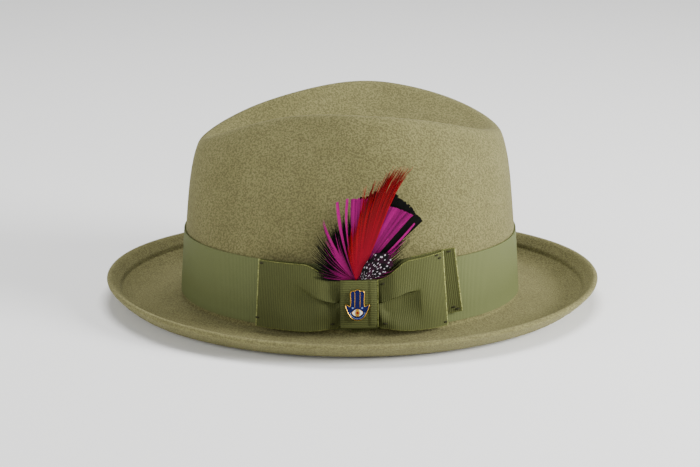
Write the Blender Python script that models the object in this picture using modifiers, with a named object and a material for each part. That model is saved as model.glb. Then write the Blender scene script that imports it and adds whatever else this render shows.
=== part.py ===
# Trilby of wool felt with a ribbon band, a flat bow, a feather mount and an enamel pin.
# Metres, +Z up. The front of the hat faces -X and the wearer's left side, with the bow, faces -Y.
# The origin is on the surface that the hat stands on, under the middle of the brim.

import math

import bmesh
import bpy
from mathutils import Matrix, Vector

MM = 0.001
HALF_TURN = math.pi

# Felt and head opening
FELT = 2.0 * MM  # thickness of the felt
HEAD_LENGTH = 200.5 * MM  # inside of the crown at the brim, front to back
HEAD_WIDTH = 167.5 * MM  # inside of the crown at the brim, side to side
AROUND = 60  # facets around the hat

# Crown
CROWN_HEIGHT = 121.8 * MM  # top of the ridge above the corner of crown and brim
RIDGE_LENGTH = 178 * MM  # loop of the two ridges, front tip to back tip
RIDGE_FRONT_WIDTH = 64 * MM  # breadth that the loop follows over the pinched front
RIDGE_BACK_WIDTH = 97 * MM  # breadth that the loop follows at the back
RIDGE_FRONT_DROP = 25 * MM  # front tip below the top of the ridge
RIDGE_BACK_DROP = 19 * MM  # back tip below the top of the ridge
CREASE_SAG = 8 * MM  # floor of the crease below the line between its tips
TAPER_SIDE = math.radians(5.5)  # lean of the lower wall at the sides
TAPER_ENDS = math.radians(3.5)  # and at front and back
PINCH_DEPTH = 7 * MM  # each of the two dents beside the front

# Brim
BRIM_FRONT = 45.9 * MM  # crown to rim, seen from above
BRIM_BACK = 48.7 * MM
BRIM_SIDE = 45.2 * MM
BRIM_SETTLE = 2.2 * MM  # fall of the brim from the crown to the ring that it rests on
CURL_RISE_SIDE = 9.8 * MM  # rise of the curled rim at the two sides
CURL_RISE_ENDS = 12.8 * MM  # rise of the curled rim at front and back
WELT_WIDTH = 8.5 * MM  # felt turned over at the rim
WELT_RISE = 1.6 * MM  # step of the turned felt above the brim
REST_PRESS = 0.25 * MM  # felt this near the floor lies flat on it

# Ribbon band and bow
GAP = 0.3 * MM  # between pieces that touch
RIBBON = 0.8 * MM  # thickness of the ribbon
RIBBON_WIDTH = 38 * MM
BAND_FOOT = 3.4 * MM  # lower edge of the band above the corner of crown and brim
BOW_PLACE = 5 * MM  # middle of the bow behind the middle of the hat, along the band
TAIL_START = -4 * MM  # the tail behind the rear loop starts inside the knot
TAIL_REACH = 62.5 * MM  # and ends this far behind the middle of the bow
TAIL_RISE = -0.8 * MM  # lower edge of the tail above the band's, in the middle of the bow
TAIL_TILT = math.radians(7)  # the rear end of the tail sits higher
LOOP_FRONT = 59.5 * MM  # reach of the front loop from the middle of the bow
LOOP_REAR = 51.5 * MM  # reach of the rear loop from the middle of the bow
LOOP_RISE = 1.0 * MM  # lower edge of the loops above the band's
LOOP_PUFF = 2.6 * MM  # loose ribbon stands this far off between knot and fold
LOOP_DROOP = 1.6 * MM  # upper edge of the face of a loop below its back
KNOT_WIDTH = 21.8 * MM  # along the band
KNOT_HEIGHT = 28.3 * MM
KNOT_RISE = 3.2 * MM  # lower edge of the knot above the band's
KNOT_TURN = 1.5 * MM  # the knot's strip turns under within this height
KNOT_CUSHION = 0.6 * MM  # the knot's face swells this much

# Feathers
VANE = 0.5 * MM  # thickness of a feather
LAYERS = 4  # quills stacked in the knot
QUILL_DEPTH = 7 * MM  # quills reach this far down into the knot
QUILL_WIDTH = 2.4 * MM
BLACK_REACH = 54 * MM  # longest barb of each feather above the knot
MAGENTA_REACH = 50 * MM
RED_REACH = 74 * MM
SPOTTED_REACH = 24 * MM

# Enamel pin
PIN_WIDTH = 15.2 * MM
PIN_HEIGHT = 19 * MM
PIN_PLATE = 1.5 * MM  # thickness of the metal
PIN_RIM = 0.5 * MM  # bright metal edge around the enamel
PIN_POCKET = 0.9 * MM  # depth of the recess
PIN_SEAM = 0.12 * MM  # between metal and enamel
POST_RADIUS = 0.6 * MM
POST_HOLE_RADIUS = 0.9 * MM
PIN_PLACE = -1.0 * MM  # middle of the pin before the middle of the bow

# Rings that the felt surface follows, as shares of each zone
TOP_SHARES = (0, 0.22, 0.44, 0.64, 0.80, 0.92, 1)  # middle of the crease to the ridge
WALL_SHARES = (0.94, 0.86, 0.74, 0.60, 0.45, 0.30, 0.17, 0.08, 0.03)  # ridge down to the corner
BRIM_SHARES = (0, 0.08, 0.20, 0.34, 0.48, 0.60, 0.70, 0.80, 0.90, 1)  # corner out to the rim
RIDGE_RING = len(TOP_SHARES) - 1
CORNER_RING = RIDGE_RING + len(WALL_SHARES) + 1
RIM_RING = CORNER_RING + len(BRIM_SHARES) - 1

# Forms of the felt, as shares
SPREAD_START = -0.57  # of half the ridge's length: the loop starts to widen
SPREAD_END = 0.28  # and reaches its full width
FRONT_FALL_POWER = 2.0
BACK_FALL_POWER = 2.25
CREASE_POWER = 1.5  # 1 is a sharp V across the crease, 2 a round trough
SHOULDER_POWER_SIDE = 3.5  # higher keeps the wall straight for longer
SHOULDER_POWER_ENDS = 7.0
PINCH_PLACE = -0.56  # of half the ridge's length
PINCH_LEVEL = 0.70  # of the crown's height
PINCH_LONG = 0.45  # of half the ridge's length
PINCH_TALL = 0.19  # of the crown's height
PINCH_SLANT = math.radians(25)  # the dent climbs towards the back
PINCH_FADE = 0.24  # of half the head's width: no dent on the nose itself
SETTLE_END = 0.45  # of the brim's width
CURL_START = 0.58  # of the brim's width
CURL_POWER = 2.0

CROWN_HALF_LENGTH = HEAD_LENGTH / 2 + FELT / 2
CROWN_HALF_WIDTH = HEAD_WIDTH / 2 + FELT / 2
RIDGE_HALF = RIDGE_LENGTH / 2
CORNER_LEVEL = FELT / 2 + BRIM_SETTLE
RIDGE_TOP = CORNER_LEVEL + CROWN_HEIGHT


def mix(a, b, share):
    return a + (b - a) * share


def smooth(share):
    share = max(0.0, min(1.0, share))
    return share * share * (3 - 2 * share)


# Felt surface


def ridge_level(x):
    share = abs(x) / RIDGE_HALF
    if x < 0:
        return RIDGE_TOP - RIDGE_FRONT_DROP * share**FRONT_FALL_POWER
    return RIDGE_TOP - RIDGE_BACK_DROP * share**BACK_FALL_POWER


def ridge_breadth(x):
    """Half breadth of the oval that the ridge follows: narrow over the pinch, wide behind it."""
    share = (x / RIDGE_HALF - SPREAD_START) / (SPREAD_END - SPREAD_START)
    return mix(RIDGE_FRONT_WIDTH, RIDGE_BACK_WIDTH, smooth(share)) / 2


def ridge_point(angle):
    x = RIDGE_HALF * math.cos(angle)
    return Vector((x, ridge_breadth(x) * math.sin(angle), ridge_level(x)))


def crease_level(x):
    share = x / RIDGE_HALF
    tips = mix(ridge_level(-RIDGE_HALF), ridge_level(RIDGE_HALF), (share + 1) / 2)
    return tips - CREASE_SAG * (1 - share**2)


def top_point(share, angle):
    """The crown inside the ridges, where it falls to the floor of the crease."""
    ridge = ridge_point(angle)
    x, y = ridge.x * share, ridge.y * share
    half = ridge_breadth(x) * math.sqrt(max(0.0, 1 - (x / RIDGE_HALF) ** 2))
    out = min(1.0, abs(y) / half) if half > 0 else 1.0
    return Vector((x, y, mix(crease_level(x), ridge_level(x), out**CREASE_POWER)))


def foot_point(angle):
    return Vector((CROWN_HALF_LENGTH * math.cos(angle), CROWN_HALF_WIDTH * math.sin(angle), CORNER_LEVEL))


def pinch(x, y, z):
    """How far the dents beside the front push a point of the wall in."""
    along_x = (x - PINCH_PLACE * RIDGE_HALF) / (PINCH_LONG * RIDGE_HALF)
    along_z = (z - CORNER_LEVEL - PINCH_LEVEL * CROWN_HEIGHT) / (PINCH_TALL * CROWN_HEIGHT)
    slope = math.tan(PINCH_SLANT) * PINCH_LONG * RIDGE_HALF / (PINCH_TALL * CROWN_HEIGHT)
    across = along_z - slope * along_x
    fade = smooth(abs(y) / (PINCH_FADE * HEAD_WIDTH / 2))
    return PINCH_DEPTH * fade * math.exp(-(along_x**2) - across**2)


def wall_point(share, angle):
    """The wall of the crown: straight above the brim, leaning in towards the ridge."""
    foot, ridge = foot_point(angle), ridge_point(angle)
    rise = ridge.z - foot.z
    inward = (ridge.xy - foot.xy).length
    end = math.cos(angle) ** 2
    straight = min(1.0, rise * math.tan(mix(TAPER_SIDE, TAPER_ENDS, end)) / inward)
    power = mix(SHOULDER_POWER_SIDE, SHOULDER_POWER_ENDS, end)
    place = foot.lerp(ridge, straight * share + (1 - straight) * share**power)
    place.z = foot.z + rise * share
    place.y -= math.copysign(pinch(*place), place.y)
    return place


def brim_width(angle):
    end = math.cos(angle)
    return mix(BRIM_SIDE, BRIM_BACK if end > 0 else BRIM_FRONT, end**2)


def brim_point(share, angle):
    foot = foot_point(angle)
    settle = max(0.0, 1 - share / SETTLE_END) ** 2
    curl = max(0.0, (share - CURL_START) / (1 - CURL_START)) ** CURL_POWER
    rise = mix(CURL_RISE_SIDE, CURL_RISE_ENDS, math.cos(angle) ** 2)
    out = Vector((math.cos(angle), math.sin(angle), 0)) * brim_width(angle) * share
    level = FELT / 2 + BRIM_SETTLE * settle + rise * curl
    return Vector((foot.x + out.x, foot.y + out.y, level))


def guide_point(ring, angle):
    """A point of the table's rings, which the felt surface follows as a smooth spline."""
    if ring < 0:
        return guide_point(-ring, angle + HALF_TURN)
    if ring > RIM_RING:
        rim = guide_point(RIM_RING, angle)
        return rim + (rim - guide_point(RIM_RING - 1, angle)) * (ring - RIM_RING)
    if ring <= RIDGE_RING:
        return top_point(TOP_SHARES[ring], angle)
    if ring < CORNER_RING:
        return wall_point(WALL_SHARES[ring - RIDGE_RING - 1], angle)
    return brim_point(BRIM_SHARES[ring - CORNER_RING], angle)


def felt_middle(ring, angle):
    """The middle of the felt: a cubic spline along the rings, ring 0 at the middle of the crown."""
    first = math.floor(ring)
    t = ring - first
    weights = ((1 - t) ** 3, 3 * t**3 - 6 * t**2 + 4, -3 * t**3 + 3 * t**2 + 3 * t + 1, t**3)
    place = Vector((0, 0, 0))
    for step, weight in enumerate(weights):
        place += guide_point(first - 1 + step, angle) * (weight / 6)
    return place


def felt_normal(ring, angle):
    """Points away from the head."""
    step = 0.02
    ring = max(ring, step)
    along = felt_middle(ring + step, angle) - felt_middle(ring - step, angle)
    around = felt_middle(ring, angle + step) - felt_middle(ring, angle - step)
    return along.cross(around).normalized()


def felt_point(ring, angle, lift):
    return felt_middle(ring, angle) + felt_normal(ring, angle) * lift


def brim_ring(from_rim):
    """The ring that lies this far inside the rim, measured along the felt at the side of the hat."""
    ring, walked, step = float(RIM_RING), 0.0, 0.05
    side = -HALF_TURN / 2
    while walked < from_rim and ring > CORNER_RING:
        walked += (felt_middle(ring, side) - felt_middle(ring - step, side)).length
        ring -= step
    return ring


# Wall of the crown, measured along the band and up from its lower edge


def wall_ring(height, angle):
    level = CORNER_LEVEL + BAND_FOOT + height
    low, high = float(RIDGE_RING + 1), float(CORNER_RING)
    for _ in range(24):
        middle = (low + high) / 2
        if felt_middle(middle, angle).z > level:
            low = middle
        else:
            high = middle
    return (low + high) / 2


def arc_table(count=720):
    """Angles and the lengths along the band's face from the middle of the wearer's left side."""
    outside = FELT / 2 + GAP + RIBBON
    long_half, wide_half = CROWN_HALF_LENGTH + outside, CROWN_HALF_WIDTH + outside
    rows = [(-HALF_TURN / 2, 0.0)]
    for step in range(1, count + 1):
        angle = -HALF_TURN / 2 + HALF_TURN * step / count
        middle = angle - HALF_TURN / count / 2
        speed = math.hypot(long_half * math.sin(middle), wide_half * math.cos(middle))
        rows.append((angle, rows[-1][1] + speed * HALF_TURN / count))
    return rows


ARC = arc_table()


def band_angle(arc):
    """The angle at a length along the band, positive towards the back of the hat."""
    length = min(abs(arc), ARC[-1][1])
    row = next(i for i in range(1, len(ARC)) if ARC[i][1] >= length)
    (a0, l0), (a1, l1) = ARC[row - 1], ARC[row]
    angle = mix(a0, a1, (length - l0) / (l1 - l0))
    return angle if arc >= 0 else -HALF_TURN - angle


def on_band(arc, height, lift):
    """A point at a length along the band, a height above its lower edge and a lift off its face."""
    angle = band_angle(arc)
    face = FELT / 2 + GAP + RIBBON
    return felt_point(wall_ring(height, angle), angle, face + lift)


def beside_crown(arc, height, lift):
    """Like on_band, but going straight up from the band's upper part where the crown curves away."""
    edge, step = RIBBON_WIDTH * 0.8, 5 * MM
    if height <= edge:
        return on_band(arc, height, lift)
    foot = on_band(arc, edge, lift)
    up = (foot - on_band(arc, edge - step, lift)).normalized()
    return foot + up * (height - edge)


# Blender helpers


def make_material(name, colour, roughness, metallic=0.0):
    material = bpy.data.materials.new(name)
    material.use_nodes = True
    shader = material.node_tree.nodes["Principled BSDF"]
    shader.inputs["Base Color"].default_value = (*colour, 1)
    shader.inputs["Roughness"].default_value = roughness
    shader.inputs["Metallic"].default_value = metallic
    return material


def add_object(name, mesh, material, collection="trilby"):
    obj = bpy.data.objects.new(name, mesh)
    if material:
        mesh.materials.clear()
        mesh.materials.append(material)
    bpy.data.collections[collection].objects.link(obj)
    return obj


def made_solid(obj):
    """The object's evaluated mesh in the same place, as a plain mesh object."""
    bpy.context.view_layer.update()
    shown = obj.evaluated_get(bpy.context.evaluated_depsgraph_get())
    mesh = bpy.data.meshes.new_from_object(shown)
    name, place, material = obj.name, obj.matrix_world.copy(), obj.active_material
    collection = obj.users_collection[0].name
    bpy.data.objects.remove(obj)
    edit = bmesh.new()
    edit.from_mesh(mesh)
    bmesh.ops.remove_doubles(edit, verts=edit.verts, dist=1e-6)
    bmesh.ops.recalc_face_normals(edit, faces=edit.faces)
    edit.to_mesh(mesh)
    edit.free()
    solid = add_object(name, mesh, material, collection)
    solid.matrix_world = place
    return solid


def thicken(obj, thickness):
    shell = obj.modifiers.new("thickness", "SOLIDIFY")
    shell.thickness = thickness
    shell.offset = 0
    shell.use_even_offset = True
    return made_solid(obj)


def cut(obj, cutter):
    knife = obj.modifiers.new("cut", "BOOLEAN")
    knife.operation = "DIFFERENCE"
    knife.object = cutter
    cutter.hide_render = True
    cutter.display_type = "WIRE"
    return obj


def sheet_object(name, columns, rows, place, material, closed=False):
    """A sheet of columns by rows points, each put in place by place(column, row)."""
    bpy.ops.mesh.primitive_grid_add(x_subdivisions=columns - 1, y_subdivisions=rows - 1, size=2)
    grid = bpy.context.object
    mesh = grid.data.copy()
    bpy.data.objects.remove(grid)
    for vertex in mesh.vertices:
        column = round((vertex.co.x + 1) / 2 * (columns - 1))
        row = round((vertex.co.y + 1) / 2 * (rows - 1))
        vertex.co = place(column, row)
    obj = add_object(name, mesh, material)
    if closed:
        obj = made_solid(obj)
    return obj


# Felt


def felt_stations():
    """Ring and lift of each row of the felt's skin, from the top of the crown out, under and back up."""
    half = FELT / 2
    welt_ring = brim_ring(WELT_WIDTH)
    welt = half + WELT_RISE
    outside = [(ring, half) for ring in range(RIM_RING + 1) if ring < welt_ring - 0.1]
    turned = [(welt_ring, half), (welt_ring + 0.06, welt)]
    turned += [(ring, welt) for ring in (RIM_RING - 1, RIM_RING - 0.45) if ring > welt_ring + 0.2]
    nose = [(RIM_RING - 0.05, welt * 0.86), (RIM_RING + 0.22, welt * 0.4), (RIM_RING + 0.22, -half * 0.2)]
    nose += [(RIM_RING - 0.02, -half * 0.85)]
    inside = [(ring, -half) for ring in range(RIM_RING - 1, -1, -1)]
    return outside + turned + nose + inside


def build_felt(material):
    """Crown and brim are one piece of felt: a turned blank whose rows are drawn over the hat's form."""
    rows = felt_stations()
    blank_radius = 10 * MM
    profile = bpy.data.meshes.new("felt")
    points = [(blank_radius, 0, -row * MM) for row in range(len(rows))]
    points[0] = (0, 0, 0)
    points[-1] = (0, 0, -(len(rows) - 1) * MM)
    profile.from_pydata(points, [(i, i + 1) for i in range(len(rows) - 1)], [])
    blank = add_object("felt", profile, material)
    turn = blank.modifiers.new("turn", "SCREW")
    turn.steps = turn.render_steps = AROUND
    turn.use_merge_vertices = True
    turn.merge_threshold = 0.0001
    felt = made_solid(blank)
    for vertex in felt.data.vertices:
        row = round(-vertex.co.z / MM)
        angle = math.atan2(vertex.co.y, vertex.co.x)
        vertex.co = felt_point(rows[row][0], angle, rows[row][1])
        if vertex.co.z < REST_PRESS:
            vertex.co.z = 0
    felt.data.shade_smooth()
    return felt


# Ribbon


def build_band(material):
    """A ribbon round the foot of the crown."""
    rows = 4
    bpy.ops.mesh.primitive_cylinder_add(vertices=AROUND, radius=1, depth=1, end_fill_type="NOTHING")
    tube = bpy.context.object
    mesh = tube.data.copy()
    bpy.data.objects.remove(tube)
    edit = bmesh.new()
    edit.from_mesh(mesh)
    upright = [edge for edge in edit.edges if abs(edge.verts[0].co.z - edge.verts[1].co.z) > 0.5]
    bmesh.ops.subdivide_edges(edit, edges=upright, cuts=rows - 2)
    for vertex in edit.verts:
        angle = math.atan2(vertex.co.y, vertex.co.x)
        height = (vertex.co.z + 0.5) * RIBBON_WIDTH
        vertex.co = felt_point(wall_ring(height, angle), angle, FELT / 2 + GAP + RIBBON / 2)
    edit.to_mesh(mesh)
    edit.free()
    return thicken(add_object("band", mesh, material), RIBBON)


BACK_LIFT = GAP + RIBBON / 2  # middle of the bow's backing strip off the band
KNOT_BACK_LIFT = BACK_LIFT + RIBBON + GAP  # middle of the knot's back
LOOP_BACK_LIFT = KNOT_BACK_LIFT + RIBBON + GAP
LOOP_FACE_LIFT = LOOP_BACK_LIFT + RIBBON + GAP
QUILL_ROOM = LAYERS * VANE + (LAYERS + 1) * GAP
KNOT_FACE_LIFT = LOOP_FACE_LIFT + RIBBON + QUILL_ROOM


def build_bow_tail(material):
    """The flat end of ribbon behind the rear loop, cut square and tilted."""
    columns, rows = 14, 5
    along, across = math.cos(TAIL_TILT), math.sin(TAIL_TILT)

    def place(column, row):
        out = mix(TAIL_START, TAIL_REACH, column / (columns - 1))
        up = RIBBON_WIDTH * row / (rows - 1)
        arc, height = out * along - up * across, TAIL_RISE + out * across + up * along
        return on_band(BOW_PLACE + arc, height, BACK_LIFT)

    return thicken(sheet_object("bow_tail", columns, rows, place, material), RIBBON)


def loop_path(reach):
    """Along one loop: how far out it is, which share of the face it has run, and its lift."""
    inner = KNOT_WIDTH / 2 - QUILL_DEPTH
    fold = (LOOP_FACE_LIFT - LOOP_BACK_LIFT) / 2
    back = (0, 0.1, 0.2, 0.35, 0.5, 0.65, 0.83, 1)
    path = [(mix(inner, reach - fold, share), 0, LOOP_BACK_LIFT) for share in back]
    for step in (1, 2, 3):
        turn = HALF_TURN * step / 4
        lift = LOOP_BACK_LIFT + fold * (1 - math.cos(turn))
        path.append((reach - fold + fold * math.sin(turn), 0, lift))
    for share in (1, 0.93, 0.84, 0.72, 0.6, 0.48, 0.36, 0.24, 0.14, 0.06, 0):
        path.append((mix(inner, reach - fold, share), share, LOOP_FACE_LIFT))
    return path


def build_loop(name, reach, side, material):
    """One loop of the bow: out along the back, folded at the end, and back to the knot as the face."""
    path = loop_path(reach)
    rows = 7
    knot_edge = (KNOT_WIDTH / 2) / reach

    def place(column, row):
        out, face, lift = path[column]
        up = row / (rows - 1)
        near_knot = 1 - smooth((out / reach - knot_edge) / 0.45)
        under = RIBBON + GAP + KNOT_TURN / 2
        height = mix(RIBBON_WIDTH, KNOT_HEIGHT - under - GAP, near_knot)
        low = mix(LOOP_RISE, KNOT_RISE + under, near_knot)
        is_face = smooth(face / 0.06)
        clear = smooth((out - KNOT_WIDTH / 2) / (0.25 * reach))
        lift += LOOP_PUFF * is_face * clear * math.sin(HALF_TURN * min(1, face)) ** 0.7
        height -= LOOP_DROOP * is_face * clear * math.sin(HALF_TURN * up / 2)
        return on_band(BOW_PLACE + side * out, low + height * up, lift)

    obj = sheet_object(name, len(path), rows, place, material)
    return thicken(obj, RIBBON)


def knot_profile():
    """Height and lift along the knot's strip: down its face, round the bottom and up the back."""
    foot, top = KNOT_RISE + RIBBON / 2, KNOT_RISE + KNOT_HEIGHT
    corner = foot + KNOT_TURN
    middle, half = (KNOT_FACE_LIFT + KNOT_BACK_LIFT) / 2, (KNOT_FACE_LIFT - KNOT_BACK_LIFT) / 2
    face = [(mix(top, corner, step / 6), KNOT_CUSHION * math.sin(HALF_TURN * step / 6)) for step in range(6)]
    profile = [(height, KNOT_FACE_LIFT + swell) for height, swell in face]
    for step in range(7):
        turn = HALF_TURN * step / 6
        across = math.copysign(abs(math.cos(turn)) ** 0.5, math.cos(turn))
        profile.append((corner - KNOT_TURN * math.sin(turn) ** 0.5, middle + half * across))
    profile += [(mix(corner, top, step / 3), KNOT_BACK_LIFT) for step in (1, 2, 3)]
    return profile


def build_knot(material):
    """The strip round the middle of the bow, open on top where the quills go in."""
    profile = knot_profile()
    along = 5

    def place(column, row):
        arc = mix(-KNOT_WIDTH / 2, KNOT_WIDTH / 2, row / (along - 1))
        height, lift = profile[column]
        return on_band(BOW_PLACE + arc, height, lift)

    return thicken(sheet_object("bow_knot", len(profile), along, place, material), RIBBON)


# Feathers


def build_feather(name, longest, root, layer, lean, spray, material):
    """A flat spray of barbs joined at one quill. Its rows hold each barb's angle from upright and its
    reach as a share of the longest. layer counts the feathers stacked in the knot, and lean is how fast
    the spray leaves the crown."""
    quill_lift = LOOP_FACE_LIFT + RIBBON / 2 + GAP + VANE / 2 + layer * (VANE + GAP)
    root_height = KNOT_RISE + KNOT_HEIGHT + GAP
    steps = 6

    def place(column, row):
        angle, reach = spray[column]
        across = mix(-QUILL_WIDTH / 2, QUILL_WIDTH / 2, column / (len(spray) - 1))
        if row == 0:
            return beside_crown(BOW_PLACE + root + across, root_height - QUILL_DEPTH, quill_lift)
        share = (row - 1) / (steps - 2)
        swing, far = math.radians(angle), reach * longest * share
        arc = BOW_PLACE + root + across * (1 - share) + far * math.sin(swing)
        return beside_crown(arc, root_height + far * math.cos(swing), quill_lift + lean * far)

    return thicken(sheet_object(name, len(spray), steps, place, material), VANE)


BLACK_SPRAY = [
    (-80, 0.37), (-71, 0.50), (-62, 0.44), (-50, 0.65), (-44, 0.54), (-40, 0.69), (-34, 0.57),
    (-29, 0.74), (-16, 0.67), (5, 0.96), (22, 1.00), (36, 0.94), (48, 0.94), (52, 0.74), (58, 0.65),
    (68, 0.46),
]
MAGENTA_SPRAY = [
    (-80, 0.44), (-66, 0.34), (-49, 0.54), (-40, 0.48), (-32, 0.88), (-25, 0.60), (-16, 0.98),
    (-10, 1.00), (-4, 0.86), (7, 1.00), (24, 0.98), (40, 1.00), (44, 0.76),
]
RED_SPRAY = [
    (-16, 0.38), (-9, 0.55), (-5, 0.58), (2, 0.78), (5, 0.77), (9, 0.89), (12, 0.88), (15, 0.96),
    (20, 0.92), (24, 1.00),
]
SPOTTED_SPRAY = [
    (10, 0.46), (18, 0.71), (28, 0.88), (37, 1.00), (47, 1.00), (58, 0.92), (68, 0.62),
]


# Enamel pin


def hand_outline():
    """Half of a plain hand charm, from the top of the middle finger round to the heel, as shares of
    the pin's half width and height, with its middle at half height."""
    return [
        (0.00, 0.50), (0.13, 0.475), (0.20, 0.44), (0.38, 0.46), (0.46, 0.38), (0.46, 0.10), (0.50, 0.03),
        (0.66, 0.02), (0.82, 0.09), (1.00, 0.07), (0.92, -0.02), (0.80, -0.22), (0.58, -0.40), (0.30, -0.48),
    ]


def pin_frame(lift):
    """Where the pin sits: x along the ribbon, y up and z away from the hat."""
    arc, height = BOW_PLACE + PIN_PLACE, KNOT_RISE + KNOT_HEIGHT / 2
    place = on_band(arc, height, lift)
    along = (on_band(arc + MM, height, lift) - on_band(arc - MM, height, lift)).normalized()
    up = (on_band(arc, height + MM, lift) - on_band(arc, height - MM, lift)).normalized()
    away = along.cross(up)
    turn = Matrix((along, away.cross(along), away)).transposed()
    return Matrix.Translation(place) @ turn.to_4x4()


def hand_plate(name, inset, thickness, lift, material, collection="trilby"):
    """A plate with the outline of the hand, set in by inset, its back at lift off the band's face."""
    half = hand_outline()
    points = half + [(0, -0.5)] + [(-x, y) for x, y in reversed(half[1:])]
    curve = bpy.data.curves.new(name, "CURVE")
    curve.dimensions = "2D"
    curve.fill_mode = "BOTH"
    curve.extrude = thickness / 2
    curve.offset = -inset
    curve.resolution_u = 2
    line = curve.splines.new("BEZIER")
    line.bezier_points.add(len(points) - 1)
    line.use_cyclic_u = True
    for knot, (x, y) in zip(line.bezier_points, points, strict=True):
        knot.co = (x * PIN_WIDTH / 2, y * PIN_HEIGHT, 0)
        knot.handle_left_type = knot.handle_right_type = "AUTO"
    plate = add_object(name, curve, material, collection)
    plate.matrix_world = pin_frame(lift + thickness / 2)
    return made_solid(plate)


def cylinder(name, radius, low, high, material, collection):
    """A round bar square to the pin, from lift low to lift high."""
    bpy.ops.mesh.primitive_cylinder_add(vertices=12, radius=radius, depth=high - low)
    bar = bpy.context.object
    mesh = bar.data.copy()
    bpy.data.objects.remove(bar)
    obj = add_object(name, mesh, material, collection)
    obj.matrix_world = pin_frame((low + high) / 2)
    return obj


def build_pin(metal, blue, white):
    """A metal hand with a recess for the enamel and a post that goes through the knot."""
    back = KNOT_FACE_LIFT + KNOT_CUSHION + RIBBON / 2 + GAP
    floor = back + PIN_PLATE - PIN_POCKET
    base = hand_plate("pin_base", 0, PIN_PLATE, back, metal)
    pocket = hand_plate("pin_pocket", PIN_RIM, PIN_PLATE, floor, None, "cutters")
    cut(base, pocket)
    post_end = KNOT_FACE_LIFT - RIBBON / 2 - GAP
    post = cylinder("pin_post", POST_RADIUS, post_end, back + PIN_PLATE / 4, None, "cutters")
    join = base.modifiers.new("post", "BOOLEAN")
    join.operation = "UNION"
    join.object = post
    post.hide_render = True
    post.display_type = "WIRE"
    fill = PIN_POCKET - PIN_SEAM * 2
    enamel = hand_plate("pin_enamel", PIN_RIM + PIN_SEAM, fill, floor + PIN_SEAM, blue)
    eye_cut = eye_plate("eye_cut", 1 + PIN_SEAM / (PIN_WIDTH / 4), fill * 2, floor + PIN_SEAM * 2, None, "cutters")
    cut(enamel, eye_cut)
    eye_plate("pin_eye", 1, fill - PIN_SEAM, floor + PIN_SEAM * 2, white, "trilby")


def eye_plate(name, grow, thickness, lift, material, collection):
    """The pale almond in the palm."""
    half_long, half_tall = PIN_WIDTH * 0.26 * grow, PIN_HEIGHT * 0.105 * grow
    points = []
    for step in range(16):
        turn = 2 * HALF_TURN * step / 16
        narrow = abs(math.sin(turn)) ** 1.4
        points.append((half_long * math.cos(turn), math.copysign(half_tall * narrow, math.sin(turn)), 0))
    curve = bpy.data.curves.new(name, "CURVE")
    curve.dimensions = "2D"
    curve.fill_mode = "BOTH"
    curve.extrude = thickness / 2
    line = curve.splines.new("POLY")
    line.points.add(len(points) - 1)
    line.use_cyclic_u = True
    for knot, point in zip(line.points, points, strict=True):
        knot.co = (*point, 1)
    plate = add_object(name, curve, material, collection)
    down = Matrix.Translation((0, -0.22 * PIN_HEIGHT, 0))
    plate.matrix_world = pin_frame(lift + thickness / 2) @ down
    return made_solid(plate)


def main():
    for obj in list(bpy.data.objects):
        bpy.data.objects.remove(obj)
    for name in ("trilby", "cutters"):
        collection = bpy.data.collections.new(name)
        bpy.context.scene.collection.children.link(collection)

    felt = make_material("olive_wool_felt", (0.25, 0.23, 0.12), 0.95)
    ribbon = make_material("olive_grosgrain", (0.19, 0.2, 0.085), 0.7)
    black = make_material("black_feather", (0.012, 0.012, 0.014), 0.5)
    magenta = make_material("magenta_feather", (0.45, 0.005, 0.35), 0.5)
    red = make_material("red_feather", (0.4, 0.003, 0.02), 0.5)
    spotted = make_material("spotted_feather", (0.05, 0.04, 0.05), 0.5)
    metal = make_material("gilt_metal", (0.75, 0.55, 0.2), 0.25, 1.0)
    blue = make_material("blue_enamel", (0.01, 0.03, 0.22), 0.15)
    white = make_material("white_enamel", (0.85, 0.85, 0.82), 0.15)

    build_felt(felt)
    build_band(ribbon)
    build_bow_tail(ribbon)
    build_loop("bow_front_loop", LOOP_FRONT, -1, ribbon)
    build_loop("bow_rear_loop", LOOP_REAR, 1, ribbon)
    knot = build_knot(ribbon)
    hole_low, hole_high = KNOT_FACE_LIFT - 2 * RIBBON, KNOT_FACE_LIFT + KNOT_CUSHION + 2 * RIBBON
    cut(knot, cylinder("post_hole", POST_HOLE_RADIUS, hole_low, hole_high, None, "cutters"))
    build_feather("feather_black", BLACK_REACH, 1 * MM, 0, 0.1, BLACK_SPRAY, black)
    build_feather("feather_magenta", MAGENTA_REACH, 1 * MM, 1, 0.13, MAGENTA_SPRAY, magenta)
    build_feather("feather_red", RED_REACH, 0, 2, 0.16, RED_SPRAY, red)
    build_feather("feather_spotted", SPOTTED_REACH, 4 * MM, 3, 0.22, SPOTTED_SPRAY, spotted)
    build_pin(metal, blue, white)

    # Everything above is measured from the middle of the crown, which stands forward of the brim's.
    to_brim_middle = Matrix.Translation(((BRIM_FRONT - BRIM_BACK) / 2, 0, 0))
    for obj in bpy.data.objects:
        obj.matrix_world = to_brim_middle @ obj.matrix_world


main()
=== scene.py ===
import math
import random

import bpy
from mathutils import Matrix, Vector, noise


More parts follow.
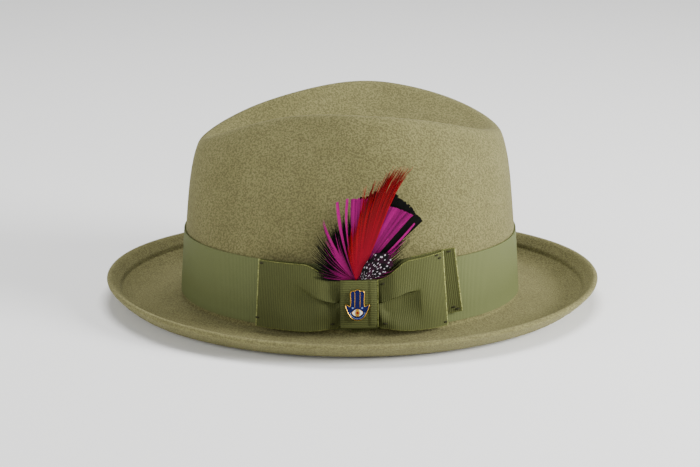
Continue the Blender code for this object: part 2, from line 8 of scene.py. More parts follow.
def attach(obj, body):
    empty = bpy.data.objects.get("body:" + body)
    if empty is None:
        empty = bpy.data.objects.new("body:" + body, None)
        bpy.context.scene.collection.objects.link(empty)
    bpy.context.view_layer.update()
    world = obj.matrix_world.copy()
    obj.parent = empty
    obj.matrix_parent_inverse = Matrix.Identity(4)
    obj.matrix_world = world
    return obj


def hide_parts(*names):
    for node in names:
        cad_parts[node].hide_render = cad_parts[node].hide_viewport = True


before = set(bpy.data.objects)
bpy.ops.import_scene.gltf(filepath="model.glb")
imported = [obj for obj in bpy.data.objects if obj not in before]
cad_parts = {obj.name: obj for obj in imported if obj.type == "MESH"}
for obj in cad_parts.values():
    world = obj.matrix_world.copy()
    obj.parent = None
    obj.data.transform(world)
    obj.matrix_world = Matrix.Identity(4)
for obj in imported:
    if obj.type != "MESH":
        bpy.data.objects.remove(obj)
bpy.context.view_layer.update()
bpy.ops.object.select_all(action="DESELECT")

mm = 0.001
halfTurn = math.pi


def mix(a, b, share):
    return a + (b - a) * share


def smooth(share):
    share = max(0.0, min(1.0, share))
    return share * share * (3 - 2 * share)


def hump(value, middle, width):  # a soft bell, 1 in the middle
    return math.exp(-(((value - middle) / width) ** 2))


# camera, floor and lights

view = {"height": 16.5, "distance": 1.5, "lens": 126.6, "aim": (-0.0014, 0.0, 0.0396)}
studio = {
    "floorColour": "#fbfbfa",
    "world": 0.24,
    # name: place, size, strength in watts
    "lights": {
        "key from the right": ((1.20, -0.46, 0.52), 0.55, 38),
        "low from the left": ((-1.25, -0.35, 0.40), 0.6, 7),
        "top": ((0.05, 0.38, 1.40), 0.8, 21),
        "front fill": ((-0.7, -1.6, 0.7), 1.2, 12),
    },
}


def linearColour(hexColour):  # sRGB hex to the linear values that a shader wants
    values = [int(hexColour[i : i + 2], 16) / 255 for i in (1, 3, 5)]
    return [v / 12.92 if v <= 0.04045 else ((v + 0.055) / 1.055) ** 2.4 for v in values] + [1.0]


def setUpStudio():
    down = math.radians(view["height"])
    aim = Vector(view["aim"])
    place = aim + view["distance"] * Vector((0, -math.cos(down), math.sin(down)))
    bpy.ops.object.camera_add(location=place, rotation=(halfTurn / 2 - down, 0, 0))
    camera = bpy.context.object
    camera.data.lens = view["lens"]
    camera.data.sensor_width = 36
    bpy.context.scene.camera = camera

    world = bpy.data.worlds.new("studio")
    bpy.context.scene.world = world
    world.use_nodes = True
    background = world.node_tree.nodes["Background"]
    background.inputs["Color"].default_value = (1, 1, 1, 1)
    background.inputs["Strength"].default_value = studio["world"]

    for name, (spot, size, watts) in studio["lights"].items():
        turn = (aim - Vector(spot)).to_track_quat("-Z", "Y").to_euler()
        bpy.ops.object.light_add(type="AREA", location=spot, rotation=turn)
        lamp = bpy.context.object
        lamp.name = name
        lamp.data.size = size
        lamp.data.energy = watts

    bpy.ops.mesh.primitive_plane_add(size=12)
    floor = bpy.context.object
    floor.name = "floor"
    paint = bpy.data.materials.new("matt white paper")
    paint.use_nodes = True
    shader = paint.node_tree.nodes["Principled BSDF"]
    shader.inputs["Base Color"].default_value = linearColour(studio["floorColour"])
    shader.inputs["Roughness"].default_value = 0.9
    floor.data.materials.append(paint)


setUpStudio()
print("camera, floor and lights are set")


# materials


def addNode(material, kind, values=None, links=None, **settings):
    node = material.node_tree.nodes.new(kind)
    for name, value in settings.items():
        setattr(node, name, value)
    for socket, value in (values or {}).items():
        node.inputs[socket].default_value = value
    for socket, source in (links or {}).items():
        material.node_tree.links.new(source, node.inputs[socket])
    return node


def startMaterial(name, roughness, ior=1.5, metallic=0.0, **sockets):
    material = bpy.data.materials.new(name)
    material.use_nodes = True
    shader = material.node_tree.nodes["Principled BSDF"]
    shader.inputs["Roughness"].default_value = roughness
    shader.inputs["IOR"].default_value = ior
    shader.inputs["Metallic"].default_value = metallic
    for socket, value in sockets.items():
        shader.inputs[socket.replace("_", " ")].default_value = value
    return material, shader


def connect(material, source, target):
    material.node_tree.links.new(source, target)


def grainScale(size):  # the scale of a pattern on Object coordinates, from its real size in millimetres
    return 1000 / size


def feltMaterial():
    # Wool felt, fulled and pounced: no thread shows, only a short nap that scatters light at grazing
    # angles and mottles the green with finer, paler hair. The real nap is finer than the picture can
    # show, so it is drawn at 1 mm.
    look = {"deep": "#343016", "main": "#6f6b42", "pale": "#858055", "napSize": 1.0, "cloudSize": 14}
    material, shader = startMaterial(
        "olive wool felt, fulled and pounced", 0.94, 1.45,
        Sheen_Weight=0.16, Sheen_Roughness=0.5, Sheen_Tint=linearColour("#b9b380"),
    )
    place = addNode(material, "ShaderNodeTexCoord").outputs["Object"]
    nap = addNode(material, "ShaderNodeTexNoise",
                  {"Scale": grainScale(look["napSize"]), "Detail": 3.0, "Roughness": 0.62}, {"Vector": place})
    cloud = addNode(material, "ShaderNodeTexNoise", {"Scale": grainScale(look["cloudSize"]), "Detail": 3.0},
                    {"Vector": place})
    napTone = addNode(material, "ShaderNodeMapRange", {1: 0.43, 2: 0.57}, {0: nap.outputs["Fac"]})
    cloudTone = addNode(material, "ShaderNodeMapRange", {1: 0.35, 2: 0.65, 3: 0.0, 4: 0.25}, {0: cloud.outputs["Fac"]})
    base = addNode(material, "ShaderNodeMix", {6: linearColour(look["main"]), 7: linearColour(look["pale"])},
                   {0: cloudTone.outputs[0]}, data_type="RGBA")
    dark = addNode(material, "ShaderNodeMapRange", {1: 0.0, 2: 1.0, 3: 0.55, 4: 0.0}, {0: napTone.outputs[0]})
    colour = addNode(material, "ShaderNodeMix", {7: linearColour(look["deep"])},
                     {0: dark.outputs[0], 6: base.outputs[2]}, data_type="RGBA")
    relief = addNode(material, "ShaderNodeBump", {"Strength": 0.8, "Distance": 0.0005}, {"Height": nap.outputs["Fac"]})
    connect(material, colour.outputs[2], shader.inputs["Base Color"])
    connect(material, relief.outputs[0], shader.inputs["Normal"])
    return material


def grosgrainMaterial(name, valley, crest):
    # Grosgrain: a thick weft under a fine warp makes round ribs across the ribbon; the crests are painted lighter and
    # the valleys darker, as painted highlight and shade, and the same tone drives the bump. The bow's darker copy is
    # painted shade.
    look = {"ribPitch": 1.05, "threadSize": 0.5}
    material, shader = startMaterial(
        name, 0.65, 1.45,
        Specular_IOR_Level=0.12, Sheen_Weight=0.03, Sheen_Roughness=0.4, Sheen_Tint=linearColour("#9a9d4c"),
    )
    uv = addNode(material, "ShaderNodeTexCoord").outputs["UV"]  # 1 unit is 100 mm of ribbon
    ribs = addNode(material, "ShaderNodeTexWave",
                   {"Scale": 0.3142 * 100 / look["ribPitch"], "Distortion": 0.35, "Detail": 1.0, "Detail Scale": 2.0},
                   {"Vector": uv}, wave_type="BANDS", bands_direction="X")
    threads = addNode(material, "ShaderNodeTexNoise", {"Scale": 100 / look["threadSize"], "Detail": 2.0}, {"Vector": uv})
    uneven = addNode(material, "ShaderNodeMapRange", {1: 0.3, 2: 0.7, 3: -0.22, 4: 0.22}, {0: threads.outputs["Fac"]})
    tone = addNode(material, "ShaderNodeMath", None, {0: ribs.outputs["Fac"], 1: uneven.outputs[0]}, operation="ADD")
    tone.use_clamp = True
    # painted highlight on the rib crests and painted shade in the valleys
    colour = addNode(material, "ShaderNodeMix", {6: linearColour(valley), 7: linearColour(crest)},
                     {0: tone.outputs[0]}, data_type="RGBA")
    relief = addNode(material, "ShaderNodeBump", {"Strength": 0.45, "Distance": 0.0002}, {"Height": tone.outputs[0]})
    connect(material, colour.outputs[2], shader.inputs["Base Color"])
    connect(material, relief.outputs[0], shader.inputs["Normal"])
    return material


def featherMaterial(name, shade, light, foot, gloss=0.5):
    # Dyed feather: keratin with a satin gloss along the barbs, each barb a little lighter or darker and
    # all of them deeper in colour towards the quill.
    material, shader = startMaterial(name, gloss, 1.45, Specular_IOR_Level=0.12)
    uv = addNode(material, "ShaderNodeTexCoord").outputs["UV"]  # x is the barb's own tone, y runs along it
    parts = addNode(material, "ShaderNodeSeparateXYZ", None, {0: uv})
    hairs = addNode(material, "ShaderNodeTexNoise", {"Scale": grainScale(0.7), "Detail": 2.0},
                    {"Vector": addNode(material, "ShaderNodeTexCoord").outputs["Object"]})
    share = addNode(material, "ShaderNodeMath", {1: 0.5, 2: -0.25}, {0: hairs.outputs["Fac"]}, operation="MULTIPLY_ADD")
    share = addNode(material, "ShaderNodeMath", None, {0: share.outputs[0], 1: parts.outputs[0]}, operation="ADD")
    share.use_clamp = True
    barbs = addNode(material, "ShaderNodeMix", {6: linearColour(shade), 7: linearColour(light)},
                    {0: share.outputs[0]}, data_type="RGBA")
    low = addNode(material, "ShaderNodeMapRange", {1: 0.15, 2: 0.75, 3: 0.8, 4: 0.0}, {0: parts.outputs[1]})
    colour = addNode(material, "ShaderNodeMix", {7: linearColour(foot)}, {0: low.outputs[0], 6: barbs.outputs[2]},
                     data_type="RGBA")
    connect(material, colour.outputs[2], shader.inputs["Base Color"])
    return material


def spottedMaterial():
    # Guinea fowl plumage: nearly black barbs, each crossed by rows of small white drops that stretch
    # along the barb, with a wine-red bloom between them.
    look = {"dark": "#080507", "bloom": "#300822","drop": "#cdc4cc", "dropSize": 0.22}
    material, shader = startMaterial("spotted guinea fowl feather", 0.5, 1.45, Specular_IOR_Level=0.12)
    uv = addNode(material, "ShaderNodeTexCoord").outputs["UV"]  # in drops across and along
    cells = addNode(material, "ShaderNodeTexVoronoi", {"Scale": 1.0, "Randomness": 0.75}, {"Vector": uv},
                    voronoi_dimensions="2D")
    inside = addNode(material, "ShaderNodeMapRange", {1: look["dropSize"], 2: look["dropSize"] - 0.12},
                     {0: cells.outputs["Distance"]})
    patches = addNode(material, "ShaderNodeTexNoise", {"Scale": grainScale(4), "Detail": 2.0},
                      {"Vector": addNode(material, "ShaderNodeTexCoord").outputs["Object"]})
    bloom = addNode(material, "ShaderNodeMapRange", {1: 0.45, 2: 0.65}, {0: patches.outputs["Fac"]})
    ground = addNode(material, "ShaderNodeMix", {6: linearColour(look["dark"]), 7: linearColour(look["bloom"])},
                     {0: bloom.outputs[0]}, data_type="RGBA")
    colour = addNode(material, "ShaderNodeMix", {7: linearColour(look["drop"])},
                     {0: inside.outputs[0], 6: ground.outputs[2]}, data_type="RGBA")
    connect(material, colour.outputs[2], shader.inputs["Base Color"])
    return material


def enamelMaterial(name, hexColour):
    # Hard enamel, fired and polished flush: deep flat colour under a glassy skin with faint waves.
    material, shader = startMaterial(name, 0.16, 1.5, Specular_IOR_Level=0.08)
    place = addNode(material, "ShaderNodeTexCoord").outputs["Object"]
    drift = addNode(material, "ShaderNodeTexNoise", {"Scale": grainScale(2), "Detail": 2.0}, {"Vector": place})
    share = addNode(material, "ShaderNodeMapRange", {3: 0.0, 4: 0.25}, {0: drift.outputs["Fac"]})
    colour = addNode(material, "ShaderNodeMix", {6: linearColour(hexColour), 7: [0.02, 0.02, 0.03, 1]},
                     {0: share.outputs[0]}, data_type="RGBA")
    relief = addNode(material, "ShaderNodeBump", {"Strength": 0.15, "Distance": 0.0001}, {"Height": drift.outputs["Fac"]})
    connect(material, colour.outputs[2], shader.inputs["Base Color"])
    connect(material, relief.outputs[0], shader.inputs["Normal"])
    return material


def giltMaterial():
    # Gold plate on stamped brass: bright, with tiny scratches that spread the light.
    material, shader = startMaterial("gold plated brass, stamped", 0.24, 1.5, 1.0)
    place = addNode(material, "ShaderNodeTexCoord").outputs["Object"]
    scratch = addNode(material, "ShaderNodeTexNoise", {"Scale": grainScale(0.3), "Detail": 2.0}, {"Vector": place})
    rough = addNode(material, "ShaderNodeMapRange", {3: 0.26, 4: 0.42}, {0: scratch.outputs["Fac"]})
    colour = addNode(material, "ShaderNodeMix", {6: linearColour("#8f6512"), 7: linearColour("#d0a544")},
                     {0: scratch.outputs["Fac"]}, data_type="RGBA")
    connect(material, colour.outputs[2], shader.inputs["Base Color"])
    connect(material, rough.outputs[0], shader.inputs["Roughness"])
    return material


def selvedgeMaterial(name, deep, pale):
    # The ribbon's woven edge: the weft turns back in a tight bead, painted paler than the ribbon as painted highlight
    # along the edge.
    material, shader = startMaterial(name, 0.7, 1.45, Specular_IOR_Level=0.12)
    place = addNode(material, "ShaderNodeTexCoord").outputs["Object"]
    turns = addNode(material, "ShaderNodeTexNoise", {"Scale": grainScale(0.9), "Detail": 2.0}, {"Vector": place})
    share = addNode(material, "ShaderNodeMapRange", {1: 0.35, 2: 0.65}, {0: turns.outputs["Fac"]})
    colour = addNode(material, "ShaderNodeMix", {6: linearColour(deep), 7: linearColour(pale)},
                     {0: share.outputs[0]}, data_type="RGBA")
    relief = addNode(material, "ShaderNodeBump", {"Strength": 0.4, "Distance": 0.0002}, {"Height": turns.outputs["Fac"]})
    connect(material, colour.outputs[2], shader.inputs["Base Color"])
    connect(material, relief.outputs[0], shader.inputs["Normal"])
    return material


def threadMaterial():
    # Mercerised sewing cotton: two plies twisted tight, nearly black. The tacks drawn in it are larger than real
    # stitches, so their dark blobs are partly thread and partly painted shade of the gathers round each stitch.
    material, shader = startMaterial("dark sewing cotton and painted shade", 0.8, 1.5, Specular_IOR_Level=0.2)
    place = addNode(material, "ShaderNodeTexCoord").outputs["Object"]
    ply = addNode(material, "ShaderNodeTexNoise", {"Scale": grainScale(0.4), "Detail": 1.0}, {"Vector": place})
    colour = addNode(material, "ShaderNodeMix", {6: linearColour("#15140c"), 7: linearColour("#39381f")},
                     {0: ply.outputs["Fac"]}, data_type="RGBA")
    connect(material, colour.outputs[2], shader.inputs["Base Color"])
    return material


felted = feltMaterial()
flatGrosgrain = grosgrainMaterial("olive grosgrain, laid flat", "#555a38", "#656b43")
# a darker copy of the same grosgrain for the bow's tail, loops and knot: painted shade
shadedGrosgrain = grosgrainMaterial("olive grosgrain, darker copy as painted shade", "#3c3e22", "#51552e")
# paler copies of the ribbon for its edge beads and rolled ends: painted highlight
selvedge = selvedgeMaterial("olive ribbon selvedge, painted highlight", "#45481f", "#727540")
rolledEndHighlight = selvedgeMaterial("olive ribbon end, painted highlight", "#666938", "#95985e")
blackBarbs = featherMaterial("black dyed feather", "#010101", "#0a0907", "#020202", 0.75)
magentaBarbs = featherMaterial("magenta dyed feather", "#38002a", "#9a006c", "#5c0034")
redBarbs = featherMaterial("red dyed feather", "#2c0102", "#8e000c", "#820020")
spottedBarbs = spottedMaterial()
navyEnamel = enamelMaterial("navy hard enamel", "#000848")
# pale blue enamel for the petals; the heel line drawn in it is painted highlight
paleEnamelAndHighlight = enamelMaterial("pale blue hard enamel and painted highlight", "#6f87b8")
whiteEnamel = enamelMaterial("white hard enamel", "#f3f1ea")
redEnamel = enamelMaterial("red hard enamel", "#7a0408")
gilt = giltMaterial()
tackCottonAndShade = threadMaterial()
print("materials are made")


# the form of the hat, in the same sizes as the solid model

hat = {
    "felt": 2.0, "headLength": 200.5, "headWidth": 167.5,
    "crownHeight": 121.8, "ridgeLength": 178.0, "ridgeFrontWidth": 64.0, "ridgeBackWidth": 97.0,
    "ridgeFrontDrop": 25.0, "ridgeBackDrop": 19.0, "creaseSag": 8.0, "pinchDepth": 7.0,
    "brimFront": 45.9, "brimBack": 48.7, "brimSide": 45.2, "brimSettle": 2.2,
    "curlSide": 9.8, "curlEnds": 12.8, "weltWidth": 8.5, "weltRise": 1.6, "restPress": 0.25,
    "wobble": 0.45, "wobbleSize": 45.0,
}
hat = {name: size * mm for name, size in hat.items()}
taper = {"side": math.radians(5.5), "ends": math.radians(3.5)}
topShares = (0, 0.22, 0.44, 0.64, 0.80, 0.92, 1)  # middle of the crease to the ridge
wallShares = (0.94, 0.86, 0.74, 0.60, 0.45, 0.30, 0.17, 0.08, 0.03)  # ridge down to the corner
brimShares = (0, 0.08, 0.20, 0.34, 0.48, 0.60, 0.70, 0.80, 0.90, 1)  # corner out to the rim
ridgeRing = len(topShares) - 1
cornerRing = ridgeRing + len(wallShares) + 1
rimRing = cornerRing + len(brimShares) - 1
crownLong = hat["headLength"] / 2 + hat["felt"] / 2
crownWide = hat["headWidth"] / 2 + hat["felt"] / 2
ridgeHalf = hat["ridgeLength"] / 2
cornerLevel = hat["felt"] / 2 + hat["brimSettle"]
ridgeTop = cornerLevel + hat["crownHeight"]
toBrimMiddle = Vector(((hat["brimFront"] - hat["brimBack"]) / 2, 0, 0))


def ridgeLevel(x):
    share = abs(x) / ridgeHalf
    if x < 0:
        return ridgeTop - hat["ridgeFrontDrop"] * share**2.0
    return ridgeTop - hat["ridgeBackDrop"] * share**2.25


def ridgeBreadth(x):
    share = (x / ridgeHalf + 0.57) / 0.85
    return mix(hat["ridgeFrontWidth"], hat["ridgeBackWidth"], smooth(share)) / 2


def ridgePoint(angle):
    x = ridgeHalf * math.cos(angle)
    return Vector((x, ridgeBreadth(x) * math.sin(angle), ridgeLevel(x)))


def creaseLevel(x):
    share = x / ridgeHalf
    tips = mix(ridgeLevel(-ridgeHalf), ridgeLevel(ridgeHalf), (share + 1) / 2)
    return tips - hat["creaseSag"] * (1 - share**2)


def topPoint(share, angle):
    ridge = ridgePoint(angle)
    x, y = ridge.x * share, ridge.y * share
    half = ridgeBreadth(x) * math.sqrt(max(0.0, 1 - (x / ridgeHalf) ** 2))
    out = min(1.0, abs(y) / half) if half > 0 else 1.0
    return Vector((x, y, mix(creaseLevel(x), ridgeLevel(x), out**1.5)))


def footPoint(angle):
    return Vector((crownLong * math.cos(angle), crownWide * math.sin(angle), cornerLevel))


def pinch(x, y, z):
    alongX = (x + 0.56 * ridgeHalf) / (0.45 * ridgeHalf)
    alongZ = (z - cornerLevel - 0.70 * hat["crownHeight"]) / (0.19 * hat["crownHeight"])
    slope = math.tan(math.radians(25)) * 0.45 * ridgeHalf / (0.19 * hat["crownHeight"])
    fade = smooth(abs(y) / (0.24 * hat["headWidth"] / 2))
    return hat["pinchDepth"] * fade * math.exp(-(alongX**2) - (alongZ - slope * alongX) ** 2)


def wallPoint(share, angle):
    foot, ridge = footPoint(angle), ridgePoint(angle)
    rise = ridge.z - foot.z
    inward = (ridge.xy - foot.xy).length
    end = math.cos(angle) ** 2
    straight = min(1.0, rise * math.tan(mix(taper["side"], taper["ends"], end)) / inward)
    place = foot.lerp(ridge, straight * share + (1 - straight) * share ** mix(3.5, 7.0, end))
    place.z = foot.z + rise * share
    place.y -= math.copysign(pinch(*place), place.y)
    return place


def brimPoint(share, angle):
    foot = footPoint(angle)
    end = math.cos(angle)
    width = mix(hat["brimSide"], hat["brimBack"] if end > 0 else hat["brimFront"], end**2)
    settle = max(0.0, 1 - share / 0.45) ** 2
    curl = max(0.0, (share - 0.58) / 0.42) ** 2
    rise = mix(hat["curlSide"], hat["curlEnds"], end**2)
    level = hat["felt"] / 2 + hat["brimSettle"] * settle + rise * curl
    out = width * share
    return Vector((foot.x + out * math.cos(angle), foot.y + out * math.sin(angle), level))


def guidePoint(ring, angle):
    if ring < 0:
        return guidePoint(-ring, angle + halfTurn)
    if ring > rimRing:
        rim = guidePoint(rimRing, angle)
        return rim + (rim - guidePoint(rimRing - 1, angle)) * (ring - rimRing)
    if ring <= ridgeRing:
        return topPoint(topShares[ring], angle)
    if ring < cornerRing:
        return wallPoint(wallShares[ring - ridgeRing - 1], angle)
    return brimPoint(brimShares[ring - cornerRing], angle)


def feltMiddle(ring, angle):  # cubic spline through the rings
    first = math.floor(ring)
    t = ring - first
    weights = ((1 - t) ** 3, 3 * t**3 - 6 * t**2 + 4, -3 * t**3 + 3 * t**2 + 3 * t + 1, t**3)
    place = Vector((0, 0, 0))
    for step, weight in enumerate(weights):
        place += guidePoint(first - 1 + step, angle) * (weight / 6)
    return place


def feltNormal(ring, angle):
    step = 0.02
    ring = max(ring, step)
    along = feltMiddle(ring + step, angle) - feltMiddle(ring - step, angle)
    around = feltMiddle(ring, angle + step) - feltMiddle(ring, angle - step)
    return along.cross(around).normalized()


knownFelt = {}


def feltPoint(ring, angle, lift):
    key = (round(ring, 5), round(angle, 6))
    if key not in knownFelt:
        knownFelt[key] = (feltMiddle(ring, angle) + toBrimMiddle, feltNormal(ring, angle))
    middle, normal = knownFelt[key]
    return middle + normal * lift


def brimRing(fromRim):
    ring, walked, step = float(rimRing), 0.0, 0.05
    side = -halfTurn / 2
    while walked < fromRim and ring > cornerRing:
        walked += (feltMiddle(ring, side) - feltMiddle(ring - step, side)).length
        ring -= step
    return ring


# how each piece is started and finished


def keepOnly(piece):
    bpy.ops.object.select_all(action="DESELECT")
    piece.select_set(True)
    bpy.context.view_layer.objects.active = piece


def layGrid(name, columns, rows, place, uvPlace=None):  # a grid of points, drawn over a form one by one
    bpy.ops.mesh.primitive_grid_add(x_subdivisions=columns - 1, y_subdivisions=rows - 1, size=2)
    piece = bpy.context.object
    piece.name = name
    mesh = piece.data
    spots = [
        (round((v.co.x + 1) / 2 * (columns - 1)), round((v.co.y + 1) / 2 * (rows - 1))) for v in mesh.vertices
    ]
    if uvPlace:
        sheet = mesh.uv_layers.active.data
        for loop in mesh.loops:
            sheet[loop.index].uv = uvPlace(*spots[loop.vertex_index])
    for vertex, spot in zip(mesh.vertices, spots, strict=True):
        vertex.co = place(*spot)
    return piece


def closeSeams(piece, outwards=True):
    keepOnly(piece)
    bpy.ops.object.mode_set(mode="EDIT")
    bpy.ops.mesh.select_all(action="SELECT")
    bpy.ops.mesh.remove_doubles(threshold=1e-6)
    if outwards:
        bpy.ops.mesh.normals_make_consistent(inside=False)
    bpy.ops.object.mode_set(mode="OBJECT")


def thicken(piece, thickness):
    keepOnly(piece)
    wall = piece.modifiers.new("wall", "SOLIDIFY")
    wall.thickness = thickness
    wall.offset = 0
    wall.use_even_offset = True
    bpy.ops.object.modifier_apply(modifier=wall.name)


def finish(piece, material, nodes=(), angle=40):
    keepOnly(piece)
    bpy.ops.object.transform_apply(location=True, rotation=True, scale=True)
    bpy.ops.object.shade_smooth_by_angle(angle=math.radians(angle))
    piece.data.materials.clear()
    piece.data.materials.append(material)
    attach(piece, "root")
    if nodes:
        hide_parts(*nodes)
    bpy.ops.object.select_all(action="DESELECT")
    return piece


# felt: crown, crease, brim and turned edge in one piece

feltLook = {"around": 200, "step": ((-0.08, 0.05), (0.0, 0.3), (0.11, 0.8), (0.23, 1.25))}


# ring and lift of each row of the skin: over the crown, out along the brim, round its edge and back
def feltStations():
    half = hat["felt"] / 2
    welt = half + hat["weltRise"]
    weltRing = brimRing(hat["weltWidth"])
    rows = []
    ring = 0.0
    while ring < weltRing - 0.2:
        rows.append((ring, half))
        ring += 0.125 if ridgeRing - 1.5 < ring < ridgeRing + 1.5 else 0.25
    rows.append((weltRing - 0.14, half))
    rows += [(weltRing + along, half + rise * mm) for along, rise in feltLook["step"]]  # the turned edge begins
    rows.append((weltRing + 0.37, welt))
    ring = weltRing + 0.52
    while ring < rimRing - 0.2:
        rows.append((ring, welt))
        ring += 0.2
    rows += [(rimRing - 0.1, welt * 0.92), (rimRing + 0.06, welt * 0.74), (rimRing + 0.17, welt * 0.48)]
    rows += [(rimRing + 0.22, welt * 0.15), (rimRing + 0.19, -half * 0.4), (rimRing + 0.08, -half * 0.8)]
    ring = rimRing - 0.1
    while ring > 0:
        rows.append((ring, -half))
        ring -= 0.25
    rows.append((0.0, -half))
    return rows


def makeFelt():
    rows = feltStations()
    columns = feltLook["around"] + 1

    def place(column, row):
        angle = 2 * halfTurn * (column % feltLook["around"]) / feltLook["around"]
        ring, lift = rows[row]
        middle = feltPoint(ring, angle, 0)
        swell = noise.noise(middle / hat["wobbleSize"]) * hat["wobble"]
        swell *= 1 - 0.6 * smooth((ring - cornerRing + 1) / 2)
        point = feltPoint(ring, angle, lift + swell)
        if point.z < hat["restPress"]:
            point.z = 0
        return point

    felt = layGrid("felt_body", columns, len(rows), place)
    keepOnly(felt)
    bpy.ops.object.mode_set(mode="EDIT")
    bpy.ops.mesh.select_all(action="SELECT")
    bpy.ops.mesh.remove_doubles(threshold=1e-6)
    bpy.ops.mesh.dissolve_degenerate(threshold=1e-7)
    bpy.ops.mesh.normals_make_consistent(inside=False)
    bpy.ops.object.mode_set(mode="OBJECT")
    return finish(felt, felted, ["felt"], angle=60)


makeFelt()
print("felt is drawn over its form")


# places along the band

ribbon = {"gap": 0.3, "thick": 0.8, "width": 38.0, "foot": 3.4}
ribbon = {name: size * mm for name, size in ribbon.items()}
bow = {
    "place": 5.0, "tailStart": -4.0, "tailReach": 62.5, "tailRise": -0.8,
    "loopFront": 59.5, "loopRear": 51.5, "loopRise": -0.2, "loopPuff": 2.6, "loopDroop": 0.4,
    "knotWidth": 21.8, "knotHeight": 28.3, "knotRise": 3.2, "knotTurn": 1.5, "knotCushion": 0.6,
    "vane": 0.5, "quillDepth": 7.0, "slantFront": 1.5, "slantRear": 2.5, "tailCurl": 3.6, "rearLean": 5.0, "rearPuff": 3.3,
}
bow = {name: size * mm for name, size in bow.items()}
layers = 4
knotLower = 1.0 * mm  # the cloth of the knot hangs this much below its solid
knotSlim = 0.93  # and is drawn in this much
backLift = ribbon["gap"] + ribbon["thick"] / 2
knotBack = backLift + ribbon["thick"] + ribbon["gap"]
loopBack = knotBack + ribbon["thick"] + ribbon["gap"]
loopFace = loopBack + ribbon["thick"] + ribbon["gap"]
knotFace = loopFace + ribbon["thick"] + layers * bow["vane"] + (layers + 1) * ribbon["gap"]
bandFace = hat["felt"] / 2 + ribbon["gap"] + ribbon["thick"]


def wallRing(height, angle):
    level = cornerLevel + ribbon["foot"] + height
    low, high = float(ridgeRing + 1), float(cornerRing)
    for _ in range(18):
        middle = (low + high) / 2
        if feltMiddle(middle, angle).z > level:
            low = middle
        else:
            high = middle
    return (low + high) / 2


def measureBand(count=720):
    rows = [(-halfTurn / 2, 0.0)]
    for step in range(1, count + 1):
        angle = -halfTurn / 2 + halfTurn * step / count
        middle = angle - halfTurn / count / 2
        speed = math.hypot((crownLong + bandFace) * math.sin(middle), (crownWide + bandFace) * math.cos(middle))
        rows.append((angle, rows[-1][1] + speed * halfTurn / count))
    return rows


bandRows = measureBand()


def bandAngle(arc):
    length = min(abs(arc), bandRows[-1][1])
    row = next(i for i in range(1, len(bandRows)) if bandRows[i][1] >= length)
    (a0, l0), (a1, l1) = bandRows[row - 1], bandRows[row]
    angle = mix(a0, a1, (length - l0) / (l1 - l0))
    return angle if arc >= 0 else -halfTurn - angle


def exactOnBand(arc, height, lift):
    angle = bandAngle(arc)
    return feltPoint(wallRing(height, angle), angle, bandFace + lift)


knownArcs = {}


def wallFrame(index):  # the wall at every 2 mm of the band: points low and high, and the way out at both
    if index not in knownArcs:
        arc = index * 2 * mm
        low, high = exactOnBand(arc, 2 * mm, 0), exactOnBand(arc, ribbon["width"] * 0.8, 0)
        lowOut = (exactOnBand(arc, 2 * mm, mm) - low) / mm
        highOut = (exactOnBand(arc, ribbon["width"] * 0.8, mm) - high) / mm
        knownArcs[index] = (low, high, lowOut, highOut)
    return knownArcs[index]


# a point at a length along the band, a height above its lower edge and a lift off its face
def onBand(arc, height, lift):
    index = math.floor(arc / (2 * mm))
    share = arc / (2 * mm) - index
    low, high, lowOut, highOut = (a.lerp(b, share) for a, b in zip(wallFrame(index), wallFrame(index + 1)))
    up = (height - 2 * mm) / (ribbon["width"] * 0.8 - 2 * mm)
    out = lowOut.lerp(highOut, max(0.0, min(1.0, up))).normalized()
    return low + (high - low) * up + out * lift


def makeBand():
    around, rows = 360, 9
    length = 2 * bandRows[-1][1]

    def place(column, row):
        angle = -halfTurn / 2 + 2 * halfTurn * (column % around) / around
        height = ribbon["width"] * row / (rows - 1)
        loose = 0.12 * mm * noise.noise(Vector((math.cos(angle) * 4, math.sin(angle) * 4, height * 60)))
        return feltPoint(wallRing(height, angle), angle, bandFace - ribbon["thick"] / 2 + loose)

    def cloth(column, row):
        return (10 * length * column / around, 10 * ribbon["width"] * row / (rows - 1))

    band = layGrid("ribbon_band", around + 1, rows, place, cloth)
    closeSeams(band)
    thicken(band, ribbon["thick"])
    return finish(band, flatGrosgrain, ["band"])


makeBand()
print("band is laid round the crown")


# bow

bowLook = {"tilt": math.radians(7), "faceColumns": 64, "rows": 61, "tailColumns": 60, "edge": 0.34 * mm, "roll": 0.6 * mm}


def tailPoint(out, up):
    along, across = math.cos(bowLook["tilt"]), math.sin(bowLook["tilt"])
    free = max(0.0, (out - 51 * mm) / (bow["tailReach"] - 51 * mm)) ** 1.8
    lift = backLift + bow["tailCurl"] * free
    arc, height = out * along - up * across, bow["tailRise"] + out * across + up * along
    return onBand(bow["place"] + arc, height, lift)


def makeTail():
    columns, rows = bowLook["tailColumns"], 14

    def place(column, row):
        out = mix(bow["tailStart"], bow["tailReach"], column / (columns - 1))
        return tailPoint(out, ribbon["width"] * row / (rows - 1))

    def cloth(column, row):
        return (10 * (bow["tailReach"] - bow["tailStart"]) * column / (columns - 1), 0.38 * row / (rows - 1))

    tail = layGrid("ribbon_tail", columns, rows, place, cloth)
    thicken(tail, ribbon["thick"] * 0.75)
    return finish(tail, shadedGrosgrain, ["bow_tail"])


def loopPath(reach):
    inner = bow["knotWidth"] / 2 - bow["quillDepth"]
    fold = (loopFace - loopBack) / 2
    path = [(mix(inner, reach - fold, step / 14), 0.0, loopBack) for step in range(15)]
    for step in range(1, 8):
        turn = halfTurn * step / 8
        path.append((reach - fold + fold * math.sin(turn), 0.0, loopBack + fold * (1 - math.cos(turn))))
    count = bowLook["faceColumns"]
    for step in range(count):
        share = 1 - step / (count - 1)
        path.append((mix(inner, reach - fold, share), share, loopFace))
    return path


